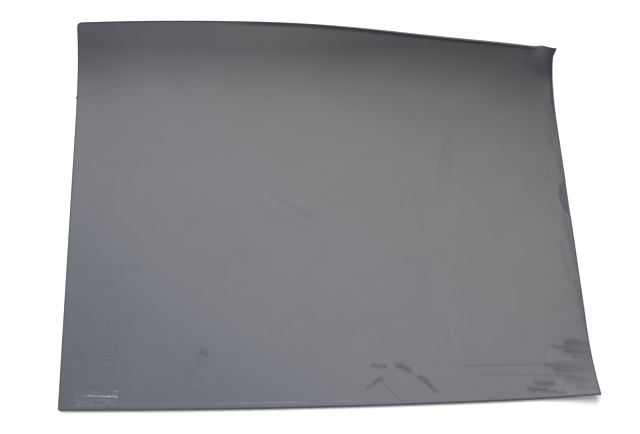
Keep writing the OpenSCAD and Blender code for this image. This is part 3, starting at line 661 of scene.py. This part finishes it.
top = settle(mesh("rubber_top_cover", [pressed_cover()]), "top_cover", finish["cover_sheet"])
bottom = settle(mesh("rubber_bottom_cover", [slab(cover_u, cover_v, [
    (0.0, 0.22), (0.08, 0.05), (0.25, 0.0), (BOTTOM_T, 0.0)])]),
    "bottom_cover", finish["underside"])
seal_u = lines(0, MAT_W, COVER_STEP, keep=core_u, ends=RIM)
seal_v = lines(0, MAT_D, COVER_STEP, keep=[*CORE[2:], *nick_v], ends=RIM)
seal = settle(mesh("sealing_ply_frame", [slab(seal_u, seal_v, [(Z_FELT, 0.12), (Z_TOP, 0.12)], CORE)]),
              "edge_seal", finish["seal_ply"])


def core_sheet(name, node, material, n0, n1):
    us, vs = lines(*CORE[:2], LAYER_STEP), lines(*CORE[2:], LAYER_STEP)
    return settle(mesh(name, [slab(us, vs, [(n0, 0.0), (n1, 0.0)])]), node, material)


def copper_run(*rectangles):
    """Flat copper over rectangles (u0, u1, v0, v1) that share edges."""
    return [slab(lines(a, b, LAYER_STEP), lines(c, d, LAYER_STEP), [(Z_PRINT, 0.0), (Z_UPPER_FILM, 0.0)])
            for a, b, c, d in rectangles]


felt = core_sheet("insulation_felt_pad", "insulation_felt", finish["felt"], Z_FELT, Z_LOWER_FILM)
lower = core_sheet("film_under_the_print", "lower_film", finish["film"],
                   Z_LOWER_FILM, Z_PRINT)
upper = core_sheet("film_over_the_print", "upper_film", finish["film"],
                   Z_UPPER_FILM, Z_FOIL)
foil = core_sheet("foil_heat_spreader", "heat_spreader", finish["foil"], Z_FOIL, Z_TOP)
first = BUS_LEFT
settle(mesh("printed_strips", copper_run(*(
    (BUS_LEFT + BUS_W, BUS_RIGHT, first + i * STRIP_PITCH, first + i * STRIP_PITCH + STRIP_W)
    for i in range(STRIP_COUNT)))), "heating_strips", finish["carbon_print"])
settle(mesh("copper_bar_left", copper_run((BUS_LEFT, BUS_LEFT + BUS_W, first, TAIL_END))),
       "bus_bar_left", finish["copper"])
settle(mesh("copper_bar_right", copper_run((BUS_RIGHT, BUS_RIGHT + BUS_W, first, RIBBON_FAR))),
       "bus_bar_right", finish["copper"])
settle(mesh("copper_ribbon", copper_run(
    (TAIL_LEFT, BUS_RIGHT, RIBBON_NEAR, RIBBON_FAR),
    (TAIL_LEFT, TAIL_LEFT + RIBBON_W, RIBBON_FAR, TAIL_END))),
    "neutral_ribbon", finish["copper"])


# ---- Blank clear patch by the near left corner, puckered along one line ----
def clear_patch():
    us, vs = lines(*PATCH[:2], 0.8), lines(*PATCH[2:], 0.6)
    points, places, distances, faces = slab(us, vs, [(MAT_T + 0.01, 0.0), (MAT_T + PATCH_T, 0.0)])
    x, y = places[:, 0], places[:, 1]
    pucker = np.zeros(len(x))
    for x0, y0, x1, y1, width, tall in (
            (-275, -214.2, -243, -216.2, 0.60, 0.44), (-249, -210.6, -243, -210.0, 0.7, 0.34),
            (-288, -219.5, -270, -221.6, 1.4, 0.20), (-266, -219.0, -252, -222.5, 1.3, 0.22),
            (-254, -221.5, -243, -220.5, 1.4, 0.20)):
        along = np.clip(((x - x0) * (x1 - x0) + (y - y0) * (y1 - y0))
                        / ((x1 - x0)**2 + (y1 - y0)**2), 0, 1)
        gap = np.hypot(x - x0 - along * (x1 - x0), y - y0 - along * (y1 - y0))
        pucker = np.maximum(pucker, tall * smooth(1 - gap / (2 * width)))
    upper_half = places[:, 2] > MAT_T + PATCH_T / 2
    points[:, 2] += np.where(upper_half, pucker, 0)
    # The pucker's height goes into the flat attribute, where the film's material paints its highlight.
    places[:, 2] = np.where(upper_half, pucker, 0)
    return points, places, distances, faces


def clear_film():
    g = Graph("clear_label_film", Roughness=0.2, Specular_IOR_Level=0.6)
    place = g.attribute("flat").outputs["Vector"]
    x, y, lifted = g.split(place)
    flat = g.vector("MULTIPLY", place, (1, 1, 0))
    haze = g.noise(flat, 0.25, 4, 0.6)
    # Painted highlight: the puckered ridges are painted pale and more opaque.
    pale = g.ramp(lifted, 0.10, 0.60)
    alpha = g.math("ADD", g.ramp(haze, 0.40, 0.70, 0.04, 0.32), g.math("MULTIPLY", pale, 0.65), clamp=True)
    color = g.mix(pale, (0.20, 0.21, 0.225, 1), (0.52, 0.54, 0.57, 1))
    return g.set(Base_Color=color, Alpha=alpha, Normal=g.bump(haze, 0.06 * MM))


patch = settle(mesh("clear_label_patch", [clear_patch()]), "label_patch", clear_film())

# ---- Inlet box: copies of the CAD shapes, the cover's edges eased ----
def eased(node, name, slot, width, segments=2):
    """A copy of a CAD node's mesh, welded, with its sharp edges rounded off by width mm."""
    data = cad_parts[node].data.copy()
    data.name = name
    bm = bmesh.new()
    bm.from_mesh(data)
    bmesh.ops.remove_doubles(bm, verts=bm.verts, dist=1e-6)
    bmesh.ops.dissolve_limit(bm, angle_limit=math.radians(0.5), verts=bm.verts, edges=bm.edges)
    if width:
        corners = [e for e in bm.edges
                   if len(e.link_faces) == 2 and e.calc_face_angle(0) > math.radians(35)]
        bmesh.ops.bevel(bm, geom=corners, offset=width * MM, segments=segments, profile=0.5,
                        affect="EDGES", clamp_overlap=True)
    bmesh.ops.triangulate(bm, faces=bm.faces)
    bm.to_mesh(data)
    bm.free()
    data.shade_smooth()
    data.set_sharp_from_angle(angle=math.radians(32))
    obj = bpy.data.objects.new(name, data)
    bpy.context.scene.collection.objects.link(obj)
    return settle(obj, node, finish[slot])


eased("inlet_base", "inlet_base_plate", "box_plastic", 0.0)
eased("inlet_cover", "inlet_box_cover", "box_plastic", 0.25)
eased("inlet_gasket", "inlet_rim_gasket", "gasket_rubber", 0.0)
eased("cord_gland", "cord_gland_sleeve", "gasket_rubber", 0.0)

CARRIED = {
    "cover_screws": "screw_steel", "clamp_screws": "screw_steel", "terminal_screws": "screw_steel",
    "terminal_rivets": "brass", "ring_tags": "brass", "terminal_tubes": "brass",
    "cord_clamp": "box_plastic", "terminal_block": "ceramic", "thermal_fuse": "ceramic",
    "fuse_sleeve": "sleeve", "live_lead": "live_wire", "live_link": "live_wire",
    "neutral_lead": "neutral_wire", "rating_label": "label",
}
for node, slot in CARRIED.items():
    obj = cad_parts[node]
    obj.data.materials.clear()
    obj.data.materials.append(finish[slot])

# ---- Floor, light and camera ----
FLOOR_REACH = 9.0
floor_data = bpy.data.meshes.new("floor")
floor_data.from_pydata([(x * FLOOR_REACH, y * FLOOR_REACH, -0.05 * MM)
                        for x, y in ((-1, -1), (1, -1), (1, 1), (-1, 1))], [], [(0, 1, 2, 3)])
floor = bpy.data.objects.new("floor", floor_data)
bpy.context.scene.collection.objects.link(floor)
paint = Graph("pale_floor", Roughness=0.9, Specular_IOR_Level=0.1)
grain = paint.noise(paint.node("ShaderNodeTexCoord").outputs["Object"], 40.0)
floor_data.materials.append(paint.set(
    Base_Color=paint.mix(grain, (0.93, 0.93, 0.93, 1), (0.91, 0.91, 0.915, 1))))


def soft_sun(name, azimuth, height, spread, strength, tint):
    """A broad, even light. azimuth is counted from +Y towards +X, angles in degrees."""
    data = bpy.data.lights.new(name, "SUN")
    data.angle, data.energy, data.color = math.radians(spread), strength, tint
    obj = bpy.data.objects.new(name, data)
    a, e = math.radians(azimuth), math.radians(height)
    toward = Vector((math.sin(a) * math.cos(e), math.cos(a) * math.cos(e), math.sin(e)))
    obj.rotation_euler = toward.to_track_quat("Z", "Y").to_euler()
    bpy.context.scene.collection.objects.link(obj)
    return obj


soft_sun("broad_light", -35, 44, 55, 4.75, (1.0, 0.975, 0.94))

world = bpy.data.worlds.new("studio")
bpy.context.scene.world = world
world.use_nodes = True
sky = world.node_tree
height = sky.nodes.new("ShaderNodeSeparateXYZ")
coordinate = sky.nodes.new("ShaderNodeTexCoord")
sky.links.new(coordinate.outputs["Generated"], height.inputs[0])
fade = sky.nodes.new("ShaderNodeMapRange")
sky.links.new(height.outputs[2], fade.inputs["Value"])
for key, value in {"From Min": 0.15, "From Max": 0.55, "To Min": 0.90, "To Max": 0.48}.items():
    fade.inputs[key].default_value = value
sky.links.new(fade.outputs[0], sky.nodes["Background"].inputs["Strength"])
sky.nodes["Background"].inputs["Color"].default_value = (0.93, 0.97, 1.05, 1)

camera_data = bpy.data.cameras.new("camera")
camera_data.sensor_width = 36.0
camera_data.lens = 44.786
camera_data.clip_start, camera_data.clip_end = 0.01, 50
camera = bpy.data.objects.new("camera", camera_data)
camera.location = (-0.171882, -0.309501, 0.8946)
camera.rotation_euler = (0.326207, -0.159362, -0.041332)
bpy.context.scene.collection.objects.link(camera)
bpy.context.scene.camera = camera
bpy.context.scene.view_settings.view_transform = "Standard"
bpy.context.scene.view_settings.look = "None"
